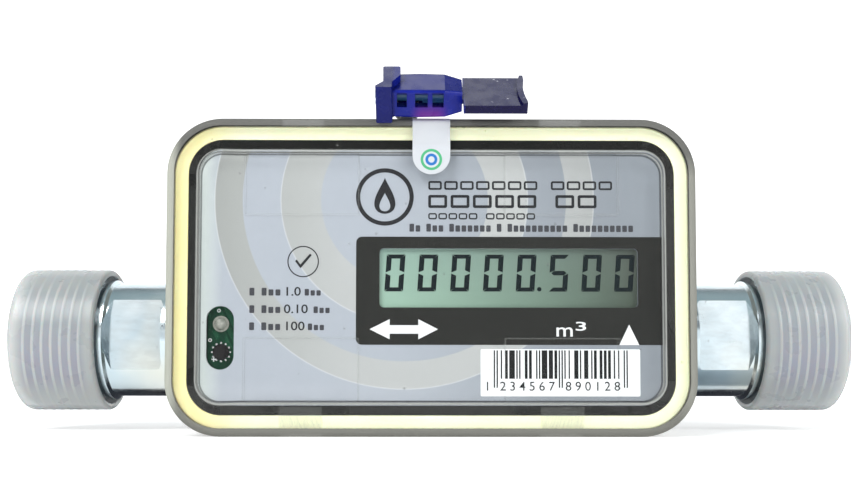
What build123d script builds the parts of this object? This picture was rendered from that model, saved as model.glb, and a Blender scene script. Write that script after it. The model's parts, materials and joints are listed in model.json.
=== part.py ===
from build123d import *

import math
import os

# An ultrasonic household gas meter: a flat sealed case across a straight measuring tube, with a
# threaded steel fitting and a push-on plug cap at each end, and a wire seal on top.
# Millimetres. X runs along the tube, -Y is the face with the display, +Z is up.
# The origin is the centre of the case's flat bottom face.

# Case
CASE_WIDTH = 124.0
CASE_HEIGHT = 74.5
CASE_DEPTH = 60.0
CORNER_RADIUS = 13.0
WALL = 2.5
FRONT = -CASE_DEPTH / 2
BACK = CASE_DEPTH / 2
MID_Z = CASE_HEIGHT / 2

# Rings of the face, each measured in from the case's outline
LIP_INSET = 1.6
GASKET_INSET = 4.9
WINDOW_INSET = 7.4
DIAL_INSET = 7.1
LEDGE_INSET = 9.2

# Depths of the face, from the front
COVER_THICKNESS = 2.0
WINDOW_RISE = 0.6
COVER_BACK = FRONT + COVER_THICKNESS
GASKET_DEPTH = 2.5
DIAL_FRONT = COVER_BACK + 0.1
DIAL_THICKNESS = 0.8
DIAL_BACK = DIAL_FRONT + DIAL_THICKNESS
RIM_ROUND = 1.5

# Snap tabs of the cover
TAB_X = 30.3
TAB_WIDTH = 9.8
TAB_THICKNESS = 1.4
TAB_LENGTH = 12.0

# Labels
BARCODE_SIZE = (37.3, 11.0)
BARCODE_CENTRE = (30.1, MID_Z - 22.4)
TAMPER_WIDTH = 8.8
TAMPER_X = -0.1
TAMPER_BOTTOM = 61.0
TAMPER_FOLD = 12.0

# Display
LCD_X = 18.1
LCD_Z = MID_Z - 0.2
LCD_WINDOW = (60.6, 13.9)
LCD_GLASS = (64.0, 19.0, 2.2)
LCD_FRONT = DIAL_BACK + 0.1
LCD_PINS = 24
LCD_PIN_PITCH = 2.4

# Optical port
PORT_X = -49.4
PORT_Z = MID_Z - 14.3
PORT_SIZE = (6.5, 14.9)
PORT_PCB_FRONT = FRONT + 3.7
LED_Z = PORT_Z + 3.3
RECEIVER_Z = PORT_Z - 3.3

# Electronics
PCB_SIZE = (104.0, 52.0, 1.6)
PCB_FRONT = FRONT + 11.0
PCB_BACK = PCB_FRONT + PCB_SIZE[2]
PCB_HOLES = [(x, MID_Z + z) for x in (-48.0, 48.0) for z in (-22.0, 22.0)]
CHASSIS_FRONT = FRONT + 16.0
CHASSIS_BACK = CHASSIS_FRONT + 2.0
POSTS = [(-47.0, 64.0), (47.0, 64.0), (-38.0, 7.9), (38.0, 7.9)]
BATTERY_LEAD_PORT = (36.0, 60.5)
LEFT_LEAD_PORT = (-36.0, 49.0)
RIGHT_LEAD_PORT = (36.0, 45.0)

# Battery
BATTERY_RADIUS = 9.25
BATTERY_LENGTH = 50.5
BATTERY_Y = 6.0
BATTERY_Z = 60.5

# Gas way
TUBE_Y = 8.0
TUBE_Z = 23.75
TUBE_BORE = 8.0
TUBE_RADIUS = 12.0
TUBE_END = 49.9
PORT_TILT = 45.0
PORT_BOSS = 7.5
PORT_BORE = 5.6
SOUND_BORE = 4.4

# Transducer ports, along each port's axis from the floor of the tube's bore
BOSS_START = 16.0
PORT_FLOOR = 25.0
TRANSDUCER_START = 26.0
SEAL_GROOVE = (30.0, 31.8)
TRANSDUCER_END = 37.0
PORT_TOP = 38.0
NUT_END = 40.5
LEAD_BEND = NUT_END + 4.0

# End fittings, along X from the middle of the meter
SOCKET_START = 44.0
FLANGE_START = 49.5
FLANGE_END = 53.0
FLANGE_RADIUS = 18.8
BULKHEAD_END = 56.0
BULKHEAD_Y = (-10.0, BACK - WALL + 1)
BULKHEAD_Z = (3.0, 46.0)
NECK_RADIUS = 15.0
FLATS_START = 68.7
FLATS_END = 81.6
FLATS_BULGE = 1.8
FLATS_ACROSS = 24.0
FLATS_TURN = 4.5
FLATS_CORNER = 2.0
COLLAR_START = 82.8
COLLAR_END = 84.5
COLLAR_RADIUS = 15.9
THREAD_START = 86.0
FITTING_END = 105.0
THREAD_PITCH = 25.4 / 11
THREAD_MAJOR = 33.249 / 2
THREAD_MINOR = 30.291 / 2
MOUTH_BORE = 10.0
MOUTH_START = 71.0
GROMMET_RADIUS = 17.0

# Plug caps
CAP_START = 84.7
CAP_END = 106.5
CAP_RADIUS = 18.7
CAP_BORE = 16.9
CAP_FLOOR = 1.2

# Wire seal: its own frame has X along it, and stands on edge above the case's top front corner
LUG_HOLE = (-20.0, 77.0)
LUG_X = (-7.3, -4.7)
LUG_HOLE_RADIUS = 0.8
SEAL_CENTRE = (-30.0, 79.75)
SEAL_TILT = 45.0
SEAL_PLACE = Pos(0, *SEAL_CENTRE) * Rot(SEAL_TILT, 0, 0)
SEAL_FLANGE = (-13.6, -9.2)
SEAL_BARREL_END = 7.0
SEAL_END = 22.0
SEAL_BORE = 2.4
SEAL_WINDOWS = ((-8.1, -5.8), (-3.9, -1.0), (0.1, 2.7))
WIRE_RADIUS = 0.4
WIRE_LEGS = (-8.4, -3.6)
WIRE_END = (0.9, -1.95)


def outline(inset, y0, y1):
    """The case's rounded outline drawn in by inset, from y0 to y1."""
    face = RectangleRounded(CASE_WIDTH - 2 * inset, CASE_HEIGHT - 2 * inset, CORNER_RADIUS - inset)
    return extrude(Plane((0, y0, MID_Z), x_dir=(1, 0, 0), z_dir=(0, 1, 0)) * face, y1 - y0)


def slab(width, height, radius, y0, y1, x, z):
    """A rounded rectangle facing -Y, centred on x and z."""
    face = RectangleRounded(width, height, radius)
    return extrude(Plane((x, y0, z), x_dir=(1, 0, 0), z_dir=(0, 1, 0)) * face, y1 - y0)


def block(x0, x1, y0, y1, z0, z1):
    """A box between two corners."""
    middle = Pos((x0 + x1) / 2, (y0 + y1) / 2, (z0 + z1) / 2)
    return middle * Box(x1 - x0, y1 - y0, z1 - z0)


def rod_y(radius, y0, y1, x, z):
    """A round bar along Y."""
    return Pos(x, (y0 + y1) / 2, z) * Rot(90, 0, 0) * Cylinder(radius, y1 - y0)


def rod_x(radius, x0, x1, y, z):
    """A round bar along X."""
    return Pos((x0 + x1) / 2, y, z) * Rot(0, 90, 0) * Cylinder(radius, x1 - x0)


def turned(points, y=TUBE_Y, z=TUBE_Z):
    """A turned piece about the X direction, from (x, radius) points."""
    return Pos(0, y, z) * revolve(make_face(Polyline(*points, close=True)), Axis.X)


def mirrored(shape):
    """The same piece at the other end of the meter."""
    return mirror(shape, about=Plane.YZ)


def joined(pieces):
    """Several pieces fused into one solid."""
    return pieces[0].fuse(*pieces[1:])


def wire(points, bend, radius):
    """A round wire along straight runs with equal bends."""
    path = FilletPolyline(*points, radius=bend)
    start = Plane(origin=path @ 0, z_dir=path % 0)
    return sweep(start * Circle(radius), path=path)


# ---------------------------------------------------------------- case

def front_cover():
    """Clear cover: a rim flush with the case, a slightly raised window, and four snap tabs."""
    rim = outline(0, FRONT, COVER_BACK)
    front_edges = rim.faces().sort_by(Axis.Y)[0].edges()
    rim = fillet(front_edges, RIM_ROUND)
    window = outline(WINDOW_INSET, FRONT - WINDOW_RISE, FRONT + 0.5)
    window = chamfer(window.faces().sort_by(Axis.Y)[0].edges(), WINDOW_RISE - 0.1)
    cover = rim + window
    for x in (-TAB_X, TAB_X):
        for z0 in (0, CASE_HEIGHT - TAB_THICKNESS):
            cover += block(
                x - TAB_WIDTH / 2,
                x + TAB_WIDTH / 2,
                COVER_BACK - 0.2,
                COVER_BACK + TAB_LENGTH,
                z0,
                z0 + TAB_THICKNESS,
            )
        for side in (-1, 1):
            cover -= slab(26.5, 14.9, 1.0, COVER_BACK - 0.3, COVER_BACK + 0.1, x, MID_Z + side * 21.9)
    return cover


def rear_case():
    """Deep tub: gasket ledge, tab slots, holes and bulkheads for the necks, posts, and the seal's lug."""
    tub = outline(0, COVER_BACK, BACK)
    tub = fillet(tub.faces().sort_by(Axis.Y)[-1].edges(), 3.0)
    tub -= outline(LIP_INSET, COVER_BACK - 1, COVER_BACK + GASKET_DEPTH)
    tub -= outline(GASKET_INSET, COVER_BACK - 1, COVER_BACK + 8)
    tub -= outline(WALL, COVER_BACK + GASKET_DEPTH + WALL, BACK - WALL)
    tub -= slab(70, 40, 3, BACK - 0.6, BACK + 1, 0, MID_Z)
    for x in (-TAB_X, TAB_X):
        for z0, z1 in ((-1, LIP_INSET), (CASE_HEIGHT - LIP_INSET, CASE_HEIGHT + 1)):
            tub -= block(
                x - TAB_WIDTH / 2 - 0.1,
                x + TAB_WIDTH / 2 + 0.1,
                COVER_BACK - 1,
                COVER_BACK + TAB_LENGTH + 0.1,
                z0,
                z1,
            )
    side_hole = rod_x(GROMMET_RADIUS, BULKHEAD_END, CASE_WIDTH, TUBE_Y, TUBE_Z)
    bulkhead = block(FLANGE_END, BULKHEAD_END, *BULKHEAD_Y, *BULKHEAD_Z)
    bulkhead -= rod_x(NECK_RADIUS + 0.1, FLANGE_END - 1, BULKHEAD_END + 1, TUBE_Y, TUBE_Z)
    for y, z in flange_screw_places():
        bulkhead -= rod_x(1.05, FLANGE_END - 1, BULKHEAD_END + 1, y, z)
    tub = tub - side_hole - mirrored(side_hole) + bulkhead + mirrored(bulkhead)
    for x, z in POSTS:
        tub += rod_y(3.0, CHASSIS_BACK, BACK - WALL + 1, x, z)
        tub -= rod_y(1.3, CHASSIS_BACK - 1, CHASSIS_BACK + 14, x, z)
    lug_y, lug_z = LUG_HOLE
    lug = block(*LUG_X, lug_y - 2.3, lug_y + 2.3, CASE_HEIGHT - 1, lug_z)
    lug += rod_x(2.3, *LUG_X, lug_y, lug_z)
    tub += lug
    return tub - rod_x(LUG_HOLE_RADIUS, LUG_X[0] - 1, LUG_X[1] + 1, lug_y, lug_z)


def cover_gasket():
    """Soft cream ring in the ledge behind the cover's rim."""
    ring = outline(LIP_INSET + 0.05, COVER_BACK, COVER_BACK + GASKET_DEPTH)
    return ring - outline(GASKET_INSET - 0.05, COVER_BACK - 1, COVER_BACK + GASKET_DEPTH + 1)


def inner_frame():
    """Black ring that holds the dial plate against the cover."""
    ring = outline(GASKET_INSET + 0.05, COVER_BACK, CHASSIS_FRONT)
    ring -= outline(DIAL_INSET + 0.05, COVER_BACK - 1, CHASSIS_FRONT + 1)
    ledge = outline(DIAL_INSET, DIAL_BACK, DIAL_BACK + 1.5)
    ledge -= outline(LEDGE_INSET, DIAL_BACK - 1, DIAL_BACK + 3)
    return ring + ledge


def dial_plate():
    """Printed plate with the display's window and the optical port's slot."""
    plate = outline(DIAL_INSET + 0.1, DIAL_FRONT, DIAL_BACK)
    plate -= slab(*LCD_WINDOW, 1.0, DIAL_FRONT - 1, DIAL_BACK + 1, LCD_X, LCD_Z)
    slot = slab(*PORT_SIZE, PORT_SIZE[0] / 2 - 0.01, DIAL_FRONT - 1, DIAL_BACK + 1, PORT_X, PORT_Z)
    return plate - slot


def barcode_label():
    """Paper label stuck on the dial plate's lower right."""
    return slab(*BARCODE_SIZE, 0.3, DIAL_FRONT - 0.08, DIAL_FRONT, *BARCODE_CENTRE)


def tamper_label():
    """Foil sticker that runs down the window and folds over the case's top edge."""
    width = TAMPER_WIDTH
    lift = 0.02
    thickness = 0.13
    window_top = CASE_HEIGHT - WINDOW_INSET
    face = [
        (FRONT - WINDOW_RISE - lift, 50.0),
        (FRONT - WINDOW_RISE - lift, window_top - 0.4),
        (FRONT - lift, window_top + 1.0),
        (FRONT - lift, CASE_HEIGHT - RIM_ROUND),
    ]
    corner = (FRONT + RIM_ROUND, CASE_HEIGHT + lift)
    end = (FRONT + TAMPER_FOLD, CASE_HEIGHT + lift)
    bend = RIM_ROUND + lift
    inner = [Line(a, b) for a, b in zip(face, face[1:])]
    inner.append(ThreePointArc(
        face[-1],
        (FRONT + RIM_ROUND - bend * math.sqrt(0.5), CASE_HEIGHT - RIM_ROUND + bend * math.sqrt(0.5)),
        corner,
    ))
    inner.append(Line(corner, end))
    profile = make_face(offset(Wire(inner), thickness, side=Side.LEFT))
    left = TAMPER_X - width / 2
    sheet = extrude(Plane((left, 0, 0), x_dir=(0, 1, 0), z_dir=(1, 0, 0)) * profile, width)
    tall = 40.0
    shape = slab(width, tall, width / 2 - 0.01, FRONT - 5, BACK, TAMPER_X, TAMPER_BOTTOM + tall / 2)
    return sheet & shape


# ---------------------------------------------------------------- display and electronics

def lcd_glass():
    width, height, thickness = LCD_GLASS
    return slab(width, height, 0.6, LCD_FRONT, LCD_FRONT + thickness, LCD_X, LCD_Z)


def lcd_reflector():
    width, height, thickness = LCD_GLASS
    start = LCD_FRONT + thickness
    return slab(width, height, 0.6, start, start + 0.4, LCD_X, LCD_Z)


def lcd_holder():
    """Frame round the glass, open at the back for the pins."""
    holder = slab(67.0, 24.0, 1.5, LCD_FRONT + 0.1, LCD_FRONT + 5.0, LCD_X, LCD_Z)
    return holder - slab(64.4, 21.0, 0.5, LCD_FRONT - 1, LCD_FRONT + 6, LCD_X, LCD_Z)


def lcd_pins():
    """Two rows of flat pins from the glass's long edges down to the circuit board."""
    pins = []
    for side in (-1, 1):
        for i in range(LCD_PINS):
            x = LCD_X + (i - (LCD_PINS - 1) / 2) * LCD_PIN_PITCH
            z = LCD_Z + side * 9.9
            pins.append(block(x - 0.25, x + 0.25, LCD_FRONT + 0.8, PCB_FRONT, z - 0.25, z + 0.25))
    return Compound(pins)


def main_pcb():
    width, height, thickness = PCB_SIZE
    board = slab(width, height, 2.0, PCB_FRONT, PCB_BACK, 0, MID_Z)
    for x, z in PCB_HOLES:
        board -= rod_y(1.5, PCB_FRONT - 1, PCB_BACK + 1, x, z)
    return board


def port_pcb():
    """Small board behind the optical port."""
    return slab(7.6, 20.0, 0.5, PORT_PCB_FRONT, PORT_PCB_FRONT + 1.0, PORT_X + 0.6, PORT_Z)


def port_header():
    """Pin strip between the optical port's board and the main board."""
    top = PORT_PCB_FRONT + 1.0
    body = block(PORT_X - 0.7, PORT_X + 1.8, top, top + 2.5, PORT_Z - 5.1, PORT_Z + 5.1)
    pins = [
        block(PORT_X + 0.25, PORT_X + 0.85, top, PCB_FRONT, PORT_Z + dz - 0.3, PORT_Z + dz + 0.3)
        for dz in (-3.81, -1.27, 1.27, 3.81)
    ]
    return joined([body, *pins])


def ir_led():
    """Clear lamp with a low dome."""
    base = rod_y(1.9, PORT_PCB_FRONT - 0.5, PORT_PCB_FRONT, PORT_X, LED_Z)
    dome = Pos(PORT_X, PORT_PCB_FRONT - 0.1, LED_Z) * Sphere(1.5)
    return base + (dome & rod_y(2.0, PORT_PCB_FRONT - 3, PORT_PCB_FRONT - 0.1, PORT_X, LED_Z))


def ir_receiver():
    """Dark lens of the light receiver."""
    base = rod_y(1.9, PORT_PCB_FRONT - 0.4, PORT_PCB_FRONT, PORT_X, RECEIVER_Z)
    return base + rod_y(1.3, PORT_PCB_FRONT - 1.3, PORT_PCB_FRONT, PORT_X, RECEIVER_Z)


def chip(size, height, x, z):
    """Flat square chip on the back of the main board, with its row of legs as a thin rim."""
    body = block(x - size / 2, x + size / 2, PCB_BACK + 0.1, PCB_BACK + height, z - size / 2, z + size / 2)
    rim = size / 2 + 1.0
    return body + block(x - rim, x + rim, PCB_BACK, PCB_BACK + 0.25, z - size / 2 + 1, z + size / 2 - 1)


def quartz_crystal():
    return slab(11.0, 4.6, 2.2, PCB_BACK, PCB_BACK + 2.6, 2.0, 22.0)


def capacitors():
    """Small block capacitors near the chips."""
    places = [(-27.0, 20.0), (-27.0, 24.0), (-27.0, 28.0), (24.0, 20.0), (24.0, 24.0), (24.0, 28.0)]
    return Compound([block(x, x + 3.2, PCB_BACK, PCB_BACK + 1.6, z, z + 1.6) for x, z in places])


def lead_connectors():
    """Three two-way sockets on the back of the main board, reaching through the chassis."""
    sockets = []
    for x, z in (BATTERY_LEAD_PORT, LEFT_LEAD_PORT, RIGHT_LEAD_PORT):
        sockets.append(block(x - 4, x + 4, PCB_BACK, CHASSIS_BACK + 0.6, z - 2.5, z + 2.5))
    return Compound(sockets)


def pcb_screws():
    """Four pan-head screws that hold the main board."""
    screws = []
    for x, z in PCB_HOLES:
        head = rod_y(2.4, PCB_FRONT - 1.6, PCB_FRONT, x, z)
        slot = block(x - 2.0, x + 2.0, PCB_FRONT - 2.0, PCB_FRONT - 1.0, z - 0.3, z + 0.3)
        cross = block(x - 0.3, x + 0.3, PCB_FRONT - 2.0, PCB_FRONT - 1.0, z - 2.0, z + 2.0)
        screws.append(head + rod_y(1.2, PCB_FRONT, CHASSIS_FRONT + 1.2, x, z) - slot - cross)
    return Compound([s for screw in screws for s in screw.solids()])


def chassis():
    """Partition plate with standoffs for the board, and openings for the leads."""
    plate = slab(116.0, 66.5, 9.0, CHASSIS_FRONT, CHASSIS_BACK, 0, MID_Z)
    for x, z in PCB_HOLES:
        plate += rod_y(3.0, PCB_BACK, CHASSIS_BACK, x, z)
        plate -= rod_y(1.25, PCB_BACK - 1, CHASSIS_BACK + 1, x, z)
    for x, z in POSTS:
        plate -= rod_y(1.5, CHASSIS_FRONT - 1, CHASSIS_BACK + 1, x, z)
        plate -= Pos(x, CHASSIS_FRONT + 0.7, z) * Rot(90, 0, 0) * Cone(1.35, 2.55, 1.41)
    for x, z in (BATTERY_LEAD_PORT, LEFT_LEAD_PORT, RIGHT_LEAD_PORT):
        plate -= slab(9.4, 6.4, 1.0, CHASSIS_FRONT - 1, CHASSIS_BACK + 1, x, z)
    return plate


def chassis_screws():
    """Four flat-head screws from the chassis into the case's posts."""
    screws = []
    for x, z in POSTS:
        head = Pos(x, CHASSIS_FRONT + 0.7, z) * Rot(90, 0, 0) * Cone(1.25, 2.4, 1.4)
        screws.append(head + rod_y(1.25, CHASSIS_FRONT + 1.3, CHASSIS_FRONT + 12, x, z))
    return Compound([s for screw in screws for s in screw.solids()])


def battery():
    """Lithium cell with a step at each end and a small positive tip."""
    half = BATTERY_LENGTH / 2
    points = [
        (-half, 0),
        (-half, BATTERY_RADIUS - 1.0),
        (-half + 0.8, BATTERY_RADIUS),
        (half - 2.2, BATTERY_RADIUS),
        (half - 1.4, BATTERY_RADIUS - 1.0),
        (half - 1.4, 2.8),
        (half, 2.8),
        (half, 0),
    ]
    return turned(points, BATTERY_Y, BATTERY_Z)


def battery_holder():
    """Base on the back of the chassis with two spring clips round the cell."""
    base = block(-20, 20, CHASSIS_BACK, CHASSIS_BACK + 1.6, BATTERY_Z - 8, BATTERY_Z + 8)
    for x0, x1 in ((-20, -12), (12, 20)):
        base += block(x0, x1, CHASSIS_BACK, BATTERY_Y + 3, BATTERY_Z - 10.6, BATTERY_Z + 10.6)
    return base - rod_x(BATTERY_RADIUS + 0.05, -30, 30, BATTERY_Y, BATTERY_Z)


def battery_lead():
    """Two insulated wires from the cell's tip to its socket."""
    x, z = BATTERY_LEAD_PORT
    wires = []
    for shift in (-1.0, 1.0):
        start = (BATTERY_LENGTH / 2, BATTERY_Y, z + shift)
        turn = (x + shift, BATTERY_Y, z + shift)
        end = (x + shift, CHASSIS_BACK + 0.6, z + shift)
        wires.append(wire([start, turn, end], 3.0, 0.6))
    return Compound(wires)


# ---------------------------------------------------------------- gas way

def along_port(distance):
    """The place on the left transducer port's axis, this far from where it meets the tube's floor."""
    step = distance * math.sqrt(0.5)
    return Pos(-step, TUBE_Y, TUBE_Z - TUBE_BORE + step) * Rot(0, -PORT_TILT, 0)


def port_rod(radius, start, end):
    """A round bar on the left transducer port's axis."""
    return along_port((start + end) / 2) * Cylinder(radius, end - start)


def measuring_tube():
    """Straight tube with two slanted transducer ports on top, for a V-shaped sound path."""
    tube = rod_x(TUBE_RADIUS, -TUBE_END, TUBE_END, TUBE_Y, TUBE_Z)
    boss = port_rod(PORT_BOSS, BOSS_START, PORT_TOP)
    tube += boss
    tube += mirrored(boss)
    tube -= rod_x(TUBE_BORE, -TUBE_END - 1, TUBE_END + 1, TUBE_Y, TUBE_Z)
    sound_way = port_rod(SOUND_BORE, BOSS_START - 4, PORT_TOP)
    seat = port_rod(PORT_BORE, PORT_FLOOR, PORT_TOP + 1)
    for cut in (sound_way, seat, mirrored(sound_way), mirrored(seat)):
        tube -= cut
    for x0, x1 in ((-47.8, -46.0), (46.0, 47.8)):
        groove = rod_x(TUBE_RADIUS + 1, x0, x1, TUBE_Y, TUBE_Z)
        tube -= groove - rod_x(TUBE_RADIUS - 1.3, x0 - 1, x1 + 1, TUBE_Y, TUBE_Z)
    return tube


def left_transducer():
    """Ultrasonic head: a can with a thinner matching face and a groove for its seal."""
    can = port_rod(5.5, TRANSDUCER_START, TRANSDUCER_END)
    can -= port_rod(6.5, *SEAL_GROOVE) - port_rod(4.3, SEAL_GROOVE[0] - 1, SEAL_GROOVE[1] + 1)
    return can + port_rod(4.2, TRANSDUCER_START - 2, TRANSDUCER_START + 0.5)


def left_transducer_nut():
    """Ring nut that holds the ultrasonic head in its port."""
    nut = port_rod(PORT_BOSS, PORT_TOP, NUT_END) + port_rod(PORT_BORE - 0.05, TRANSDUCER_END, PORT_TOP)
    return nut - port_rod(2.0, TRANSDUCER_END - 1, NUT_END + 1)


def transducer_seals():
    """Rubber ring round each ultrasonic head."""
    ring = along_port(sum(SEAL_GROOVE) / 2) * Torus(4.3 + 0.62, 0.6)
    return Compound([ring, mirrored(ring)])


def left_transducer_lead():
    """Twin lead from the left head to its socket."""
    x, z = LEFT_LEAD_PORT
    start = along_port(TRANSDUCER_END).position
    bend = along_port(LEAD_BEND).position
    end = (x, CHASSIS_BACK + 0.6, z)
    return wire([start, bend, (x, -4.0, z), end], 2.0, 0.9)


def right_transducer_lead():
    """Twin lead from the right head to its socket."""
    x, z = RIGHT_LEAD_PORT
    start = along_port(TRANSDUCER_END).position
    bend = along_port(LEAD_BEND).position
    end = (x, CHASSIS_BACK + 0.6, z)
    return wire([(-start.X, start.Y, start.Z), (-bend.X, bend.Y, bend.Z), (x, -4.0, z), end], 2.0, 0.9)


def left_straightener():
    """Plug with seven channels that calms the flow at the tube's end."""
    plug = rod_x(TUBE_BORE - 0.05, -TUBE_END, -TUBE_END + 6, TUBE_Y, TUBE_Z)
    for y, z in [(0, 0)] + [polar(5.0, k * 60) for k in range(6)]:
        plug -= rod_x(2.1, -TUBE_END - 1, -TUBE_END + 7, TUBE_Y + y, TUBE_Z + z)
    return plug


def inlet_screen():
    """Perforated disc against dirt at the inlet side."""
    disc = rod_x(9.15, -70.8, -70.2, TUBE_Y, TUBE_Z)
    pitch = 2.5
    holes = []
    for row in range(-4, 5):
        for column in range(-4, 5):
            y = (column + (row % 2) / 2) * pitch
            z = row * pitch * math.sqrt(0.75)
            if math.hypot(y, z) < 7.6:
                holes.append(rod_x(0.95, -72, -69, TUBE_Y + y, TUBE_Z + z))
    return disc.cut(*holes)


def tube_seals():
    """Rubber rings between the tube's ends and the fittings."""
    ring = Rot(0, 90, 0) * Torus(TUBE_RADIUS - 0.62, 0.66)
    return Compound([Pos(x, TUBE_Y, TUBE_Z) * ring for x in (-46.9, 46.9)])


def polar(radius, degrees):
    """A point on a circle."""
    angle = math.radians(degrees)
    return (radius * math.cos(angle), radius * math.sin(angle))


def flange_screw_places():
    """The four screws of one fitting's flange."""
    spots = [polar(16.85, 45 + 90 * k) for k in range(4)]
    return [(TUBE_Y + y, TUBE_Z + z) for y, z in spots]


def flats_cutter():
    """What one wrench flat removes: round-cornered towards the case, bulged towards the collar."""
    chord = 2 * math.sqrt(NECK_RADIUS ** 2 - (FLATS_ACROSS / 2) ** 2)
    bulge_radius = (chord ** 2 / 4 + FLATS_BULGE ** 2) / (2 * FLATS_BULGE)
    depth = 6.0
    middle_y = -FLATS_ACROSS / 2 - depth / 2
    end = FLATS_END + FLATS_BULGE
    cutter = Pos((FLATS_START + end) / 2, middle_y, 0) * Box(end - FLATS_START, depth, chord + 0.6)
    cutter = fillet(cutter.edges().group_by(Axis.X)[0].filter_by(Axis.Y), FLATS_CORNER)
    round_end = Pos(end - bulge_radius, middle_y, 0) * Rot(90, 0, 0) * Cylinder(bulge_radius, depth)
    return cutter & round_end


def right_fitting():
    """Steel end fitting: socket, flange, neck with wrench flats, collar and parallel pipe thread."""
    ridges = int((FITTING_END - THREAD_START) / THREAD_PITCH)
    crest = THREAD_PITCH / 8
    thread = []
    for k in range(ridges):
        start = THREAD_START + 0.4 + k * THREAD_PITCH
        thread += [
            (start, THREAD_MINOR),
            (start + THREAD_PITCH / 2 - crest / 2, THREAD_MAJOR),
            (start + THREAD_PITCH / 2 + crest / 2, THREAD_MAJOR),
        ]
    last = THREAD_START + 0.4 + ridges * THREAD_PITCH
    profile = [
        (SOCKET_START, TUBE_RADIUS + 0.1),
        (SOCKET_START, NECK_RADIUS - 0.4),
        (FLANGE_START, NECK_RADIUS - 0.4),
        (FLANGE_START, FLANGE_RADIUS),
        (FLANGE_END, FLANGE_RADIUS),
        (FLANGE_END, NECK_RADIUS),
        (COLLAR_START, NECK_RADIUS),
        (COLLAR_START + 0.6, COLLAR_RADIUS),
        (COLLAR_END, COLLAR_RADIUS),
        (COLLAR_END, THREAD_MINOR - 0.3),
        (THREAD_START, THREAD_MINOR - 0.3),
        *thread,
        (last, THREAD_MINOR),
        (FITTING_END - 0.3, THREAD_MINOR),
        (FITTING_END, THREAD_MINOR - 0.3),
        (FITTING_END, MOUTH_BORE + 0.8),
        (FITTING_END - 0.8, MOUTH_BORE),
        (MOUTH_START, MOUTH_BORE),
        (MOUTH_START, 9.2),
        (MOUTH_START - 1, 9.2),
        (MOUTH_START - 1, TUBE_BORE),
        (TUBE_END + 0.1, TUBE_BORE),
        (TUBE_END + 0.1, TUBE_RADIUS + 0.1),
    ]
    fitting = turned(profile)
    cutter = flats_cutter()
    for turn in (0, 180):
        fitting -= Pos(0, TUBE_Y, TUBE_Z) * Rot(turn - FLATS_TURN, 0, 0) * cutter
    for y, z in flange_screw_places():
        fitting -= rod_x(1.15, FLANGE_START - 1, FLANGE_END + 1, y, z)
    return fitting


def right_grommet():
    """Rubber sleeve between the neck and the case's side."""
    return turned([
        (BULKHEAD_END + 0.1, NECK_RADIUS + 0.05),
        (BULKHEAD_END + 0.1, GROMMET_RADIUS - 0.05),
        (CASE_WIDTH / 2 - 0.8, GROMMET_RADIUS - 0.05),
        (CASE_WIDTH / 2 - 0.2, GROMMET_RADIUS - 0.7),
        (CASE_WIDTH / 2 - 0.2, NECK_RADIUS + 0.05),
    ])


def fitting_screws():
    """Eight pan-head screws, four through each fitting's flange."""
    screws = []
    for y, z in flange_screw_places():
        head = rod_x(1.9, FLANGE_START - 1.5, FLANGE_START, y, z)
        screw = head + rod_x(1.0, FLANGE_START - 0.5, BULKHEAD_END - 0.3, y, z)
        screws += [screw, mirrored(screw)]
    return Compound([s for screw in screws for s in screw.solids()])


def right_cap():
    """Soft translucent plug cap pushed over the thread."""
    return turned([
        (CAP_START, CAP_BORE + 0.4),
        (CAP_START + 0.3, CAP_RADIUS - 0.1),
        (CAP_START + 0.6, CAP_RADIUS),
        (CAP_END - 1.8, CAP_RADIUS),
        (CAP_END - 0.6, CAP_RADIUS - 0.6),
        (CAP_END, CAP_RADIUS - 1.9),
        (CAP_END, 0),
        (CAP_END - CAP_FLOOR, 0),
        (CAP_END - CAP_FLOOR, CAP_BORE - 0.3),
        (CAP_END - CAP_FLOOR - 0.3, CAP_BORE),
        (CAP_START + 0.4, CAP_BORE),
    ])


# ---------------------------------------------------------------- wire seal

def seal_local(y, z):
    """A world point behind the seal, in the seal's own Y and Z."""
    dy = y - SEAL_CENTRE[0]
    dz = z - SEAL_CENTRE[1]
    turn = math.radians(SEAL_TILT)
    return (dy * math.cos(turn) + dz * math.sin(turn), dz * math.cos(turn) - dy * math.sin(turn))


def section(x, depth, height):
    """A rectangular section across the seal."""
    return Plane((x, 0, 0), x_dir=(0, 1, 0), z_dir=(1, 0, 0)) * RectangleRounded(depth, height, 0.9)


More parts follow.
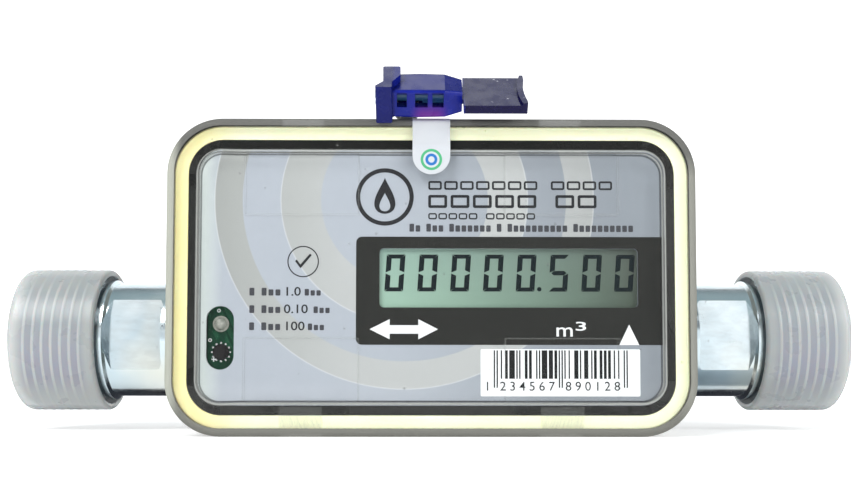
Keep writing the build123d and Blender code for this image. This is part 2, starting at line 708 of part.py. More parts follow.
def seal_body():
    """Barrel with a thick flange at one end, a number plate at the other, and windows to the rotor."""
    barrel = loft([
        section(SEAL_FLANGE[1] - 0.5, 8.6, 6.9),
        section(SEAL_FLANGE[1] + 6.5, 9.0, 7.1),
        section(SEAL_BARREL_END - 4.0, 8.8, 6.9),
        section(SEAL_BARREL_END, 7.0, 5.2),
    ], ruled=True)
    flange_outline = Polyline(
        (SEAL_FLANGE[0], -5.6),
        (SEAL_FLANGE[1], -5.6),
        (SEAL_FLANGE[1], -3.2),
        (SEAL_FLANGE[1] + 1.9, 0.2),
        (SEAL_FLANGE[1] + 1.9, 4.1),
        (SEAL_FLANGE[0] + 2.2, 4.1),
        (SEAL_FLANGE[0] + 2.4, -2.9),
        close=True,
    )
    flange = extrude(Plane((0, 0, -4.05)) * make_face(flange_outline), 9.35)
    flange = fillet(flange.edges().filter_by(Axis.Z), 0.5)
    plate_outline = Polyline(
        (SEAL_BARREL_END + 0.3, -6.5),
        (SEAL_END, -6.5),
        (SEAL_END - 0.4, 6.4),
        (SEAL_BARREL_END + 0.3, 6.4),
        close=True,
    )
    plate = extrude(Plane((0, 0, -1.0)) * make_face(plate_outline), 2.1)
    plate += block(SEAL_BARREL_END - 2.0, SEAL_BARREL_END + 2.0, -2.8, 2.8, -0.6, 0.7)
    notch = Pos(SEAL_END + 21.5, 0, 0) * Cylinder(22.2, 6)
    lip = (Pos(SEAL_END + 21.5, 0, 0.6) * Cylinder(23.6, 2.4)) & extrude(
        Plane((0, 0, -1.0)) * make_face(plate_outline), 2.9
    )
    body = barrel + flange + plate + lip - notch
    body -= rod_x(SEAL_BORE, SEAL_FLANGE[0] - 1, SEAL_BARREL_END - 0.7, 0, 0)
    for x0, x1 in SEAL_WINDOWS:
        body -= block(x0, x1, -6, -2, -0.6, 3.0)
    hinge = seal_local(*LUG_HOLE)
    for x in WIRE_LEGS:
        way = Line((x, *WIRE_END), (x, *hinge))
        body -= sweep(Plane(origin=way @ 0, z_dir=way % 0) * Circle(0.6), path=way)
    return SEAL_PLACE * body


def seal_rotor():
    """Winding spool inside the seal, with a slotted head in the flange and three fins."""
    end = SEAL_BARREL_END - 1.0
    points = [
        (SEAL_FLANGE[0] + 0.4, 0),
        (SEAL_FLANGE[0] + 0.4, SEAL_BORE - 0.3),
        (SEAL_FLANGE[1] - 0.3, SEAL_BORE - 0.3),
        (SEAL_FLANGE[1] - 0.3, 1.3),
        (4.4, 1.3),
        (4.4, SEAL_BORE - 0.3),
        (end, SEAL_BORE - 0.3),
        (end, 0),
    ]
    rotor = revolve(make_face(Polyline(*points, close=True)), Axis.X)
    for angle in (0, 120, 240):
        rotor += Rot(angle, 0, 0) * block(-2.2, 4.6, -0.4, 0.4, 1.0, SEAL_BORE - 0.35)
    head = SEAL_FLANGE[0]
    rotor -= block(head, head + 1.4, -SEAL_BORE, SEAL_BORE, -0.5, 0.5)
    return SEAL_PLACE * rotor


def seal_wire():
    """Steel wire loop from the barrel through the case's lug."""
    hinge = seal_local(*LUG_HOLE)
    left, right = WIRE_LEGS
    points = [(left, *WIRE_END), (left, *hinge), (right, *hinge), (right, *WIRE_END)]
    return SEAL_PLACE * wire(points, 1.0, WIRE_RADIUS)


NODES = {
    "front_cover": front_cover,
    "cover_gasket": cover_gasket,
    "rear_case": rear_case,
    "inner_frame": inner_frame,
    "dial_plate": dial_plate,
    "barcode_label": barcode_label,
    "tamper_label": tamper_label,
    "lcd_glass": lcd_glass,
    "lcd_reflector": lcd_reflector,
    "lcd_holder": lcd_holder,
    "lcd_pins": lcd_pins,
    "main_pcb": main_pcb,
    "port_pcb": port_pcb,
    "port_header": port_header,
    "ir_led": ir_led,
    "ir_receiver": ir_receiver,
    "microcontroller": lambda: chip(14.0, 1.6, -12.0, 28.0),
    "timing_chip": lambda: chip(9.0, 1.2, 12.0, 28.0),
    "quartz_crystal": quartz_crystal,
    "capacitors": capacitors,
    "lead_connectors": lead_connectors,
    "pcb_screws": pcb_screws,
    "chassis": chassis,
    "chassis_screws": chassis_screws,
    "battery": battery,
    "battery_holder": battery_holder,
    "battery_lead": battery_lead,
    "measuring_tube": measuring_tube,
    "left_transducer": left_transducer,
    "right_transducer": lambda: mirrored(left_transducer()),
    "left_transducer_nut": left_transducer_nut,
    "right_transducer_nut": lambda: mirrored(left_transducer_nut()),
    "transducer_seals": transducer_seals,
    "left_transducer_lead": left_transducer_lead,
    "right_transducer_lead": right_transducer_lead,
    "left_straightener": left_straightener,
    "right_straightener": lambda: mirrored(left_straightener()),
    "inlet_screen": inlet_screen,
    "tube_seals": tube_seals,
    "left_fitting": lambda: mirrored(right_fitting()),
    "right_fitting": right_fitting,
    "left_grommet": lambda: mirrored(right_grommet()),
    "right_grommet": right_grommet,
    "fitting_screws": fitting_screws,
    "left_cap": lambda: mirrored(right_cap()),
    "right_cap": right_cap,
    "seal_body": seal_body,
    "seal_rotor": seal_rotor,
    "seal_wire": seal_wire,
}

os.makedirs("parts", exist_ok=True)
for name, make in NODES.items():
    export_step(make(), f"parts/{name}.step")
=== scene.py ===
"""The looks of a household gas meter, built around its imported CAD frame.

Lengths are millimetres until they reach Blender, which works in metres.
X runs along the measuring tube, -Y is the face with the display, +Z is up.
"""

import json
import math

import bmesh
import bpy
from mathutils import Matrix, Vector


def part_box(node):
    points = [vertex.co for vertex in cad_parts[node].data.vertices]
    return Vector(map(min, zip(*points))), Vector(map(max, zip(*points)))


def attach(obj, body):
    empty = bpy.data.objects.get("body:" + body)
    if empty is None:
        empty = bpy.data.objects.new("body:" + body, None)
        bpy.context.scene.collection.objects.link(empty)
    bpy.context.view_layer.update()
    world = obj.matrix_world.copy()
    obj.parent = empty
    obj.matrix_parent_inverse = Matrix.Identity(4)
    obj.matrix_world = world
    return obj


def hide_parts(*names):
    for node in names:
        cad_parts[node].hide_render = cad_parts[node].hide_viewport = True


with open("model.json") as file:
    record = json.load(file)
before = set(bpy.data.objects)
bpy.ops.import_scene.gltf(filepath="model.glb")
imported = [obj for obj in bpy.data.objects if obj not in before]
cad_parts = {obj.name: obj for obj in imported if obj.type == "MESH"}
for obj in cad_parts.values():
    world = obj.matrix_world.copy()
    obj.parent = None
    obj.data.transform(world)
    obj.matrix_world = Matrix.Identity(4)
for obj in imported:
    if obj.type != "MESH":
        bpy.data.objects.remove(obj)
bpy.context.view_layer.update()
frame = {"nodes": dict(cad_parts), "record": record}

MM = 0.001
FACE_CORNER = 13.0
DIGIT_SLANT = 0.067
PRINT_THICKNESS = 0.015


def node_box(node):
    """A node's lowest and highest corners, in millimetres."""
    low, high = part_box(node)
    return low / MM, high / MM


CASE_LOW, CASE_HIGH = node_box("front_cover")
DIAL_LOW, DIAL_HIGH = node_box("dial_plate")
LABEL_LOW, LABEL_HIGH = node_box("barcode_label")
GLASS_LOW, GLASS_HIGH = node_box("lcd_glass")
BOARD_LOW, BOARD_HIGH = node_box("port_pcb")
TAMPER_LOW, TAMPER_HIGH = node_box("tamper_label")
LENS_LOW, LENS_HIGH = node_box("ir_receiver")
CAP_LOW, CAP_HIGH = node_box("right_cap")
CENTRE_Z = (CASE_LOW.z + CASE_HIGH.z) / 2
CAP_AXIS_Y = (CAP_LOW.y + CAP_HIGH.y) / 2
CAP_AXIS_Z = (CAP_LOW.z + CAP_HIGH.z) / 2
CAP_RADIUS = (CAP_HIGH.z - CAP_LOW.z) / 2
CAP_MOUTH = CAP_LOW.x
CAP_PITCH = 25.4 / 11


# ---------------------------------------------------------------- camera, light and floor

def add_camera():
    """The camera, low in front of the meter and a little left of its middle line."""
    data = bpy.data.cameras.new("camera")
    data.lens = 43.23
    data.sensor_width = 36.0
    data.shift_y = 0.0893
    data.clip_start = 0.005
    camera = bpy.data.objects.new("camera", data)
    bpy.context.scene.collection.objects.link(camera)
    yaw, pitch, roll = (math.radians(angle) for angle in (-0.38, 2.87, -0.05))
    turn = Matrix.Rotation(yaw, 4, "Z") @ Matrix.Rotation(pitch, 4, "X") @ Matrix.Rotation(roll, 4, "Y")
    place = Matrix.Translation(Vector((-3.0, -266.5, 13.8)) * MM)
    camera.matrix_world = place @ turn @ Matrix.Rotation(math.radians(90), 4, "X")
    bpy.context.scene.camera = camera


def add_area_light(name, place, target, size, power, colour=(1, 1, 1)):
    """A rectangular soft light; place, target and size are in metres."""
    data = bpy.data.lights.new(name, "AREA")
    data.shape = "RECTANGLE"
    data.size, data.size_y = size
    data.energy = power
    data.color = colour
    light = bpy.data.objects.new(name, data)
    light.location = place
    direction = Vector(target) - Vector(place)
    light.rotation_euler = direction.to_track_quat("-Z", "Y").to_euler()
    bpy.context.scene.collection.objects.link(light)


def add_world(level, zenith):
    """An even grey room, with its own colour overhead."""
    world = bpy.data.worlds.new("studio")
    world.use_nodes = True
    nodes, links = world.node_tree.nodes, world.node_tree.links
    upward = nodes.new("ShaderNodeSeparateXYZ")
    links.new(nodes.new("ShaderNodeTexCoord").outputs["Generated"], upward.inputs[0])
    rise = nodes.new("ShaderNodeMapRange")
    rise.inputs["From Min"].default_value = 0.75
    rise.inputs["From Max"].default_value = 0.95
    links.new(upward.outputs["Z"], rise.inputs["Value"])
    tint = nodes.new("ShaderNodeMix")
    tint.data_type = "RGBA"
    low, high = [socket for socket in tint.inputs if socket.type == "RGBA"]
    low.default_value = (*level, 1)
    high.default_value = (*zenith, 1)
    links.new(rise.outputs["Result"], tint.inputs["Factor"])
    colour = [socket for socket in tint.outputs if socket.type == "RGBA"][0]
    links.new(colour, nodes["Background"].inputs["Color"])
    bpy.context.scene.world = world


def add_floor():
    """A pale floor that sweeps up into a backdrop."""
    reach, wide, sweep, height, steps = 1.3, 3.0, 0.5, 2.2, 16
    profile = [(-1.6, 0.0), (reach, 0.0)]
    for step in range(1, steps + 1):
        angle = math.pi / 2 * step / steps
        profile.append((reach + sweep * math.sin(angle), sweep * (1 - math.cos(angle))))
    profile.append((reach + sweep, height))
    mesh = bpy.data.meshes.new("floor")
    vertices = [(side * wide, y, z) for y, z in profile for side in (-1, 1)]
    faces = [(2 * i, 2 * i + 1, 2 * i + 3, 2 * i + 2) for i in range(len(profile) - 1)]
    mesh.from_pydata(vertices, [], faces)
    mesh.shade_smooth()
    floor = bpy.data.objects.new("floor", mesh)
    bpy.context.scene.collection.objects.link(floor)
    shader = Shader("studio_floor")
    shade = shader.noise(3.0, detail=2)
    colour = shader.mix(shade, (0.64, 0.64, 0.64), (0.67, 0.67, 0.67))
    _, y, _ = shader.axes()
    shader.principled(
        base_color=colour,
        roughness=0.9,
        specular_ior_level=0.1,
        emission_color=(1.0, 1.0, 1.0),
        emission_strength=shader.span(y, 60.0, 900.0, 0.52, 0.90, smooth=True),
    )
    mesh.materials.append(shader.material)


def add_dark_card(name, low, high, shade):
    """A dark card flat on the floor, hidden from the camera, which only shiny surfaces see."""
    corners = [(low[0], low[1]), (high[0], low[1]), (high[0], high[1]), (low[0], high[1])]
    mesh = bpy.data.meshes.new(name)
    mesh.from_pydata([(x * MM, y * MM, 0.3 * MM) for x, y in corners], [], [(0, 1, 2, 3)])
    card = bpy.data.objects.new(name, mesh)
    bpy.context.scene.collection.objects.link(card)
    card.visible_camera = False
    card.visible_shadow = False
    card.visible_diffuse = False
    shader = Shader(name)
    felt = shader.mix(shader.noise(400.0), darker(shade, 0.8), darker(shade, 1.2))
    mesh.materials.append(shader.principled(base_color=felt, roughness=0.9))


# ---------------------------------------------------------------- shader building

class Shader:
    """A node material being built. Numbers and colours are set on sockets, the rest is linked."""

    def __init__(self, name):
        self.material = bpy.data.materials.new(name)
        self.material.use_nodes = True
        self.tree = self.material.node_tree
        self.tree.nodes.clear()
        self.output = self.tree.nodes.new("ShaderNodeOutputMaterial")
        self.place = self.tree.nodes.new("ShaderNodeTexCoord").outputs["Object"]

    def feed(self, socket, value):
        if isinstance(value, bpy.types.NodeSocket):
            self.tree.links.new(value, socket)
        elif socket.type == "RGBA" and len(value) == 3:
            socket.default_value = (*value, 1)
        else:
            socket.default_value = value

    def math(self, operation, a, b=0.0, c=0.0, clamp=False):
        node = self.tree.nodes.new("ShaderNodeMath")
        node.operation = operation
        node.use_clamp = clamp
        for socket, value in zip(node.inputs, (a, b, c)):
            self.feed(socket, value)
        return node.outputs[0]

    def hypotenuse(self, a, b):
        squares = self.math("ADD", self.math("MULTIPLY", a, a), self.math("MULTIPLY", b, b))
        return self.math("SQRT", squares)

    def axes(self):
        """The object's X, Y and Z in millimetres."""
        node = self.tree.nodes.new("ShaderNodeSeparateXYZ")
        self.feed(node.inputs[0], self.place)
        return [self.math("MULTIPLY", node.outputs[axis], 1 / MM) for axis in range(3)]

    def facing_up(self):
        """How far the object's own surface faces up, from -1 to 1."""
        node = self.tree.nodes.new("ShaderNodeSeparateXYZ")
        self.feed(node.inputs[0], self.tree.nodes.new("ShaderNodeTexCoord").outputs["Normal"])
        return node.outputs["Z"]

    def span(self, value, low, high, to_low=0.0, to_high=1.0, smooth=False):
        """A value stretched from one range to another and held at its ends."""
        node = self.tree.nodes.new("ShaderNodeMapRange")
        node.interpolation_type = "SMOOTHSTEP" if smooth else "LINEAR"
        for key, number in zip(
            ("Value", "From Min", "From Max", "To Min", "To Max"), (value, low, high, to_low, to_high)
        ):
            self.feed(node.inputs[key], number)
        return node.outputs["Result"]

    def mix(self, factor, a, b):
        """A colour between a and b."""
        node = self.tree.nodes.new("ShaderNodeMix")
        node.data_type = "RGBA"
        colours = [socket for socket in node.inputs if socket.type == "RGBA"]
        self.feed(node.inputs["Factor"], factor)
        self.feed(colours[0], a)
        self.feed(colours[1], b)
        return [socket for socket in node.outputs if socket.type == "RGBA"][0]

    def noise(self, scale, detail=3.0, roughness=0.5, stretch=(1, 1, 1)):
        """Noise from 0 to 1, with its scale in cycles per metre and its grain stretched along the axes."""
        mapping = self.tree.nodes.new("ShaderNodeMapping")
        mapping.inputs["Scale"].default_value = [1 / s for s in stretch]
        self.feed(mapping.inputs["Vector"], self.place)
        node = self.tree.nodes.new("ShaderNodeTexNoise")
        self.feed(node.inputs["Vector"], mapping.outputs["Vector"])
        node.inputs["Scale"].default_value = scale
        node.inputs["Detail"].default_value = detail
        node.inputs["Roughness"].default_value = roughness
        return node.outputs["Fac"]

    def specks(self, scale, size):
        """Sparse round specks: 1 inside a speck, 0 outside."""
        node = self.tree.nodes.new("ShaderNodeTexVoronoi")
        self.feed(node.inputs["Vector"], self.place)
        node.inputs["Scale"].default_value = scale
        return self.span(node.outputs["Distance"], size, size * 0.5)

    def bump(self, height, distance, strength=1.0, normal=None):
        """A bumped normal; distance is the height of a full step, in millimetres."""
        node = self.tree.nodes.new("ShaderNodeBump")
        node.inputs["Strength"].default_value = strength
        node.inputs["Distance"].default_value = distance * MM
        self.feed(node.inputs["Height"], height)
        if normal is not None:
            self.feed(node.inputs["Normal"], normal)
        return node.outputs["Normal"]

    def node(self, kind, **values):
        """A shader node with its inputs named in lower case."""
        node = self.tree.nodes.new(kind)
        sockets = {socket.name.lower().replace(" ", "_"): socket for socket in node.inputs}
        for key, value in values.items():
            self.feed(sockets[key], value)
        return node.outputs[0]

    def skin(self, head_on):
        """The share of light that a smooth clear surface mirrors, from either side."""
        facing = self.tree.nodes.new("ShaderNodeLayerWeight").outputs["Facing"]
        grazing = self.math("POWER", facing, 5.0)
        return self.span(grazing, 0.0, 1.0, head_on, 1.0)

    def finish(self, surface):
        self.feed(self.output.inputs["Surface"], surface)
        return self.material

    def principled(self, **values):
        """A Principled surface as the material's finish."""
        return self.finish(self.node("ShaderNodeBsdfPrincipled", **values))

    def blend_surfaces(self, factor, first, second):
        node = self.tree.nodes.new("ShaderNodeMixShader")
        self.feed(node.inputs[0], factor)
        self.feed(node.inputs[1], first)
        self.feed(node.inputs[2], second)
        return node.outputs[0]


def darker(colour, factor):
    return tuple(channel * factor for channel in colour)


def moulded(name, colour, rough, grain=0.02, grain_scale=2200.0, spread=0.08, metallic=0.0, **more):
    """Moulded, painted or cast stuff: mottled colour, uneven gloss and a fine grain."""
    shader = Shader(name)
    mottle = shader.noise(90.0, detail=4)
    tint = shader.mix(mottle, darker(colour, 1 - spread), darker(colour, 1 + spread))
    gloss = shader.span(shader.noise(260.0, detail=3), 0.3, 0.7, rough * 0.85, min(1.0, rough * 1.15))
    relief = shader.bump(shader.noise(grain_scale, detail=2), grain)
    return shader.principled(base_color=tint, roughness=gloss, metallic=metallic, normal=relief, **more)


# ---------------------------------------------------------------- materials of the face

def from_outline(shader):
    """How far in from the case's outline a point of the face lies, in millimetres."""
    x, _, z = shader.axes()
    half_x = (CASE_HIGH.x - CASE_LOW.x) / 2
    half_z = (CASE_HIGH.z - CASE_LOW.z) / 2
    over_x = shader.math("SUBTRACT", shader.math("ABSOLUTE", x), half_x - FACE_CORNER)
    from_middle = shader.math("ABSOLUTE", shader.math("SUBTRACT", z, CENTRE_Z))
    over_z = shader.math("SUBTRACT", from_middle, half_z - FACE_CORNER)
    corner = shader.hypotenuse(shader.math("MAXIMUM", over_x, 0.0), shader.math("MAXIMUM", over_z, 0.0))
    inside = shader.math("MINIMUM", shader.math("MAXIMUM", over_x, over_z), 0.0)
    return shader.math("SUBTRACT", FACE_CORNER, shader.math("ADD", corner, inside))


def ridge(shader, value, centre, half_width):
    """1 on a line where value is centre, falling to 0 at half_width from it."""
    distance = shader.math("ABSOLUTE", shader.math("SUBTRACT", value, centre))
    return shader.span(distance, half_width, half_width * 0.35)


def clear_cover():
    """Clear glossy plastic.

    A grey haze lies over the case's lip, painted lighter at the left and right and darker at the top as
    light and shade. A painted highlight line with a painted shade line inside it marks the window's edge,
    and four snap recesses have faint outlines of painted light.
    """
    shader = Shader("clear_cover")
    x, y, z = shader.axes()
    inward = from_outline(shader)
    facing = shader.math("LESS_THAN", y, CASE_LOW.y + 3.0)
    upper = shader.span(z, CASE_HIGH.z - 14.0, CASE_HIGH.z - 8.5)
    line = shader.span(x, -57.0, -44.0, 7.3, 7.65)
    line = shader.math("ADD", line, shader.math("MULTIPLY", upper, 0.25))
    # Painted highlight: a light line along the window's edge, stronger towards the right and weaker at the
    # top.
    strength = shader.span(x, 44.0, 52.0, 0.74, 0.88)
    strength = shader.math("SUBTRACT", strength, shader.math("MULTIPLY", upper, 0.26))
    edge = shader.math("MULTIPLY", ridge(shader, inward, line, 0.36), strength)
    # Painted shade: a dark line just inside the painted highlight line.
    shade = shader.math("MULTIPLY", ridge(shader, inward, shader.math("ADD", line, 0.52), 0.28), 0.5)
    shade = shader.math("MULTIPLY", shade, facing)
    # Faint painted light along the outlines of four snap recesses, standing for the light their edges catch.
    recess_x, recess_z, recess_half_x, recess_half_z = 30.3, 21.9, 13.25, 7.45
    across = shader.math("ABSOLUTE", shader.math("SUBTRACT", shader.math("ABSOLUTE", x), recess_x))
    upward = shader.math("ABSOLUTE", shader.math("SUBTRACT", z, CENTRE_Z))
    upward = shader.math("ABSOLUTE", shader.math("SUBTRACT", upward, recess_z))
    over_x = shader.math("SUBTRACT", across, recess_half_x)
    over_z = shader.math("SUBTRACT", upward, recess_half_z)
    box = shader.math("MAXIMUM", over_x, over_z)
    recess = shader.math("MULTIPLY", ridge(shader, box, 0.0, 0.22), 0.10)
    rim = shader.span(inward, 2.0, 1.88, 0.0, 0.92)
    clip = shader.math("MULTIPLY", shader.span(across, 5.1, 4.9), shader.span(z, 10.0, 9.0))
    clip = shader.math("MULTIPLY", clip, shader.span(inward, 7.0, 6.8, 0.0, 0.12))
    haze = shader.math("MAXIMUM", shader.math("MAXIMUM", edge, recess), shader.math("MAXIMUM", rim, clip))
    dust = shader.math("MULTIPLY", shader.specks(140.0, 0.06), 0.25)
    haze = shader.math("MULTIPLY", shader.math("MAXIMUM", haze, dust), facing)
    haze = shader.math("ADD", haze, 0.004)
    relief = shader.bump(shader.noise(60.0, detail=2), 0.03)
    smear = shader.span(shader.noise(45.0, detail=5), 0.35, 0.7, 0.02, 0.10)
    clear = shader.node("ShaderNodeBsdfTransparent", color=(0.99, 0.995, 1.0))
    gloss = shader.node("ShaderNodeBsdfGlossy", color=(1, 1, 1), roughness=smear, normal=relief)
    surface = shader.blend_surfaces(shader.skin(0.020), clear, gloss)
    # Painted light and shade on the rim's haze: lighter at the left and right ends, darker along the top.
    left = shader.span(x, -61.5, -58.0, 1.0, 0.0, smooth=True)
    rim_grey = shader.mix(shader.span(x, 57.0, 60.0), (0.20, 0.20, 0.18), (0.28, 0.28, 0.25))
    rim_grey = shader.mix(upper, rim_grey, (0.15, 0.15, 0.14))
    rim_grey = shader.mix(left, rim_grey, (0.46, 0.47, 0.41))
    # Inside the rim the haze is a light grey, which colours the painted highlight line and the recess
    # outlines.
    glow = shader.mix(shader.span(inward, 2.2, 3.0), rim_grey, (0.40, 0.41, 0.39))
    edge_glow = shader.node("ShaderNodeBsdfDiffuse", color=glow)
    surface = shader.blend_surfaces(haze, surface, edge_glow)
    # A near-black diffuse paints that shade line.
    edge_dark = shader.node("ShaderNodeBsdfDiffuse", color=(0.03, 0.03, 0.03))
    return shader.finish(shader.blend_surfaces(shade, surface, edge_dark))


def gasket_cream():
    """Cream silicone, yellower towards the left, with a painted glow that lifts the shade on it."""
    shader = Shader("gasket_cream")
    x, _, _ = shader.axes()
    aged = shader.span(x, -56.0, -40.0, 1.0, 0.0, smooth=True)
    cloud = shader.noise(60.0, detail=3)
    fresh = shader.mix(cloud, (0.95, 0.96, 0.60), (0.99, 0.99, 0.74))
    old = shader.mix(cloud, (0.90, 0.80, 0.36), (0.96, 0.90, 0.52))
    colour = shader.mix(aged, fresh, old)
    relief = shader.bump(shader.noise(900.0, detail=2), 0.03)
    return shader.principled(
        base_color=colour,
        roughness=0.55,
        normal=relief,
        subsurface_weight=0.15,
        subsurface_scale=0.001,
        # Painted glow: the emission lifts the shade that falls across the gasket, though it is no lamp.
        emission_color=colour,
        emission_strength=0.25,
    )


def dial_print():
    """Pale blue-grey print, two wide warm rings each with a thin light outer line, painted shade to its
    right.
    """
    shader = Shader("dial_print")
    x, _, z = shader.axes()
    centre_x, centre_z = -6.4, 55.5
    distance = shader.hypotenuse(
        shader.math("SUBTRACT", x, centre_x), shader.math("SUBTRACT", z, centre_z)
    )
    rings = 0.0
    lines = 0.0
    for inner, outer in ((19.6, 29.0), (38.0, 44.5)):
        middle, half = (inner + outer) / 2, (outer - inner) / 2
        off = shader.math("ABSOLUTE", shader.math("SUBTRACT", distance, middle))
        rings = shader.math("MAXIMUM", rings, shader.span(off, half + 0.06, half - 0.06))
        lines = shader.math("MAXIMUM", lines, ridge(shader, distance, outer, 0.22))
    # Painted shade: the ground is painted darker towards the right.
    right = shader.span(x, -15.0, 42.0, smooth=True)
    fibre = shader.noise(700.0, detail=4, roughness=0.7)
    ground = shader.mix(right, (0.43, 0.46, 0.50), (0.275, 0.30, 0.325))
    # Painted light: the ground's far left edge is painted lighter, over the frame's shadow there.
    ground = shader.mix(shader.span(x, -49.0, -53.0), ground, (0.62, 0.67, 0.64))
    ground = shader.mix(shader.span(fibre, 0.3, 0.7, 0.0, 0.08), ground, (0.22, 0.24, 0.27))
    band = shader.mix(shader.span(x, -50.0, -20.0), (0.36, 0.37, 0.35), (0.49, 0.50, 0.485))
    # Painted shade: the rings are painted darker towards the right.
    band = shader.mix(shader.span(x, 20.0, 45.0, 0.0, 0.5), band, (0.25, 0.255, 0.25))
    band = shader.mix(shader.span(fibre, 0.3, 0.7, 0.0, 0.08), band, (0.28, 0.28, 0.27))
    colour = shader.mix(rings, ground, band)
    colour = shader.mix(shader.math("MULTIPLY", lines, 0.28), colour, (0.85, 0.86, 0.86))
    relief = shader.bump(shader.noise(1500.0, detail=2), 0.01)
    return shader.principled(base_color=colour, roughness=0.5, specular_ior_level=0.35, normal=relief)


def lcd_glass():
    """Grey-green display with painted light and shade: brighter towards the left and the bottom."""
    shader = Shader("lcd_glass")
    x, _, z = shader.axes()
    # Painted light and shade: the display's even green is painted lighter to the left and bottom, darker to
    # the right.
    dim = shader.span(x, GLASS_LOW.x + 4, GLASS_HIGH.x)
    low = shader.span(z, GLASS_LOW.z + 2, GLASS_HIGH.z - 2)
    bright = shader.mix(low, (0.34, 0.50, 0.39), (0.30, 0.43, 0.36))
    shaded_green = shader.mix(low, (0.065, 0.080, 0.060), (0.085, 0.095, 0.080))
    colour = shader.mix(dim, bright, shaded_green)
    gloss = shader.span(shader.noise(120.0), 0.3, 0.7, 0.10, 0.18)
    relief = shader.bump(shader.noise(800.0, detail=1), 0.004)
    return shader.principled(base_color=colour, roughness=gloss, specular_ior_level=0.25, normal=relief)


def paper_label():
    """White label stock with a faint tooth."""
    shader = Shader("paper_label")
    tooth = shader.noise(1200.0, detail=3)
    colour = shader.mix(tooth, (0.90, 0.91, 0.90), (0.97, 0.97, 0.96))
    return shader.principled(base_color=colour, roughness=0.45, normal=shader.bump(tooth, 0.01))


def tamper_foil():
    """White security sticker with a faint blue shimmer."""
    shader = Shader("tamper_foil")
    sheen = shader.noise(110.0, detail=2)
    colour = shader.mix(sheen, (0.60, 0.63, 0.67), (0.67, 0.69, 0.71))
    relief = shader.bump(shader.noise(500.0, detail=3), 0.01)
    return shader.principled(base_color=colour, roughness=0.32, metallic=0.15, normal=relief)


def pcb_green():
    """Solder mask over faint copper lanes."""
    shader = Shader("pcb_green")
    x, _, z = shader.axes()
    lanes = shader.math("PINGPONG", shader.math("ADD", x, shader.math("MULTIPLY", z, 0.5)), 0.9)
    traces = shader.span(lanes, 0.25, 0.35)
    patches = shader.span(shader.noise(180.0, detail=1), 0.48, 0.52)
    copper = shader.math("MULTIPLY", traces, patches)
    colour = shader.mix(copper, (0.004, 0.042, 0.020), (0.010, 0.072, 0.034))
    relief = shader.bump(copper, 0.03)
    return shader.principled(base_color=colour, roughness=0.35, specular_ior_level=0.12, normal=relief)


# ---------------------------------------------------------------- materials of the ends and the seal

def zinc_steel():
    """Bright zinc plating with a blue passivated cast, faint warm stains and handling marks."""
    shader = Shader("zinc_steel")
    cast = shader.noise(55.0, detail=3)
    stain = shader.noise(38.0, detail=2, roughness=0.6)
    colour = shader.mix(shader.span(cast, 0.35, 0.65), (0.60, 0.71, 0.76), (0.76, 0.83, 0.85))
    warm = shader.span(stain, 0.55, 0.75, 0.0, 0.6)
    colour = shader.mix(warm, colour, (0.88, 0.86, 0.74))
    marks = shader.noise(420.0, detail=5, roughness=0.65, stretch=(3.0, 1, 1))
    gloss = shader.span(marks, 0.35, 0.75, 0.14, 0.30)
    dents = shader.math("ADD", shader.math("MULTIPLY", marks, 0.4), shader.specks(320.0, 0.10))
    relief = shader.bump(dents, 0.02, strength=0.6)
    return shader.principled(base_color=colour, metallic=1.0, roughness=gloss, normal=relief)


